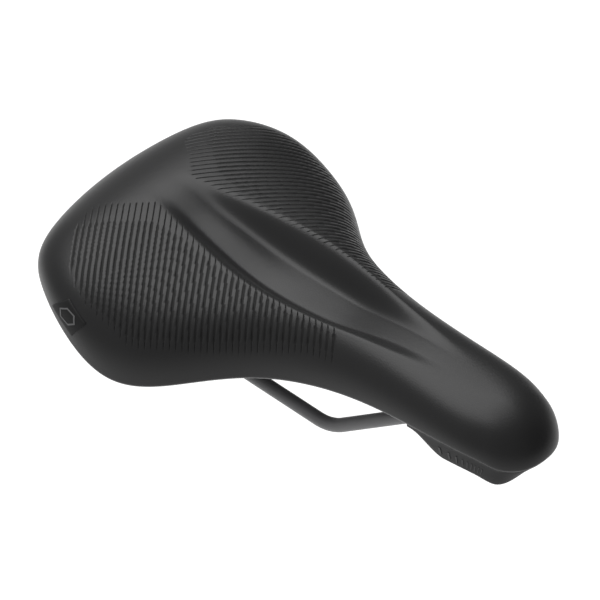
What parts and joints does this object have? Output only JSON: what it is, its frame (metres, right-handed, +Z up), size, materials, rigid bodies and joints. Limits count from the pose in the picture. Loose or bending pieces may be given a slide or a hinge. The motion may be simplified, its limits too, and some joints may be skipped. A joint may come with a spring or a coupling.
{
  "type": "bicycle saddle",
  "caption": "Padded bicycle saddle with a long nose, broad rear wings and a relief channel; a moulded cover over a stiff shell, carried on bent rails for a seatpost clamp.",
  "frame": {"origin": "middle of the straight clamping stretch of the rails, half way between the two rail centre lines", "axes": "+X to the nose, +Y to the rider's left, +Z up"},
  "size_m": [0.2834, 0.168, 0.0676],
  "materials": {
    "cover_microfibre": "matte black microfibre with pressed stripes",
    "padding_foam": "moulded open-cell foam",
    "gel_inlay": "soft translucent gel",
    "shell_nylon": "moulded black nylon",
    "guard_plastic": "satin black plastic",
    "badge_rubber": "matte black rubber tag",
    "rail_steel_coated": "satin dark grey coated steel tube",
    "staple_steel": "zinc plated wire"
  },
  "bodies": {
    "root": {"cover": "cover_microfibre", "foam_pad": "padding_foam", "left_gel_inlay": "gel_inlay", "right_gel_inlay": "gel_inlay", "base_shell": "shell_nylon", "nose_guard": "guard_plastic", "corner_badge": "badge_rubber", "left_rail": "rail_steel_coated", "right_rail": "rail_steel_coated", "staple_01": "staple_steel", "staple_02": "staple_steel", "staple_03": "staple_steel", "staple_04": "staple_steel", "staple_05": "staple_steel", "staple_06": "staple_steel", "staple_07": "staple_steel", "staple_08": "staple_steel", "staple_09": "staple_steel", "staple_10": "staple_steel", "staple_11": "staple_steel", "staple_12": "staple_steel", "staple_13": "staple_steel", "staple_14": "staple_steel", "staple_15": "staple_steel", "staple_16": "staple_steel", "staple_17": "staple_steel", "staple_18": "staple_steel", "staple_19": "staple_steel", "staple_20": "staple_steel"}
  },
  "joints": []
}
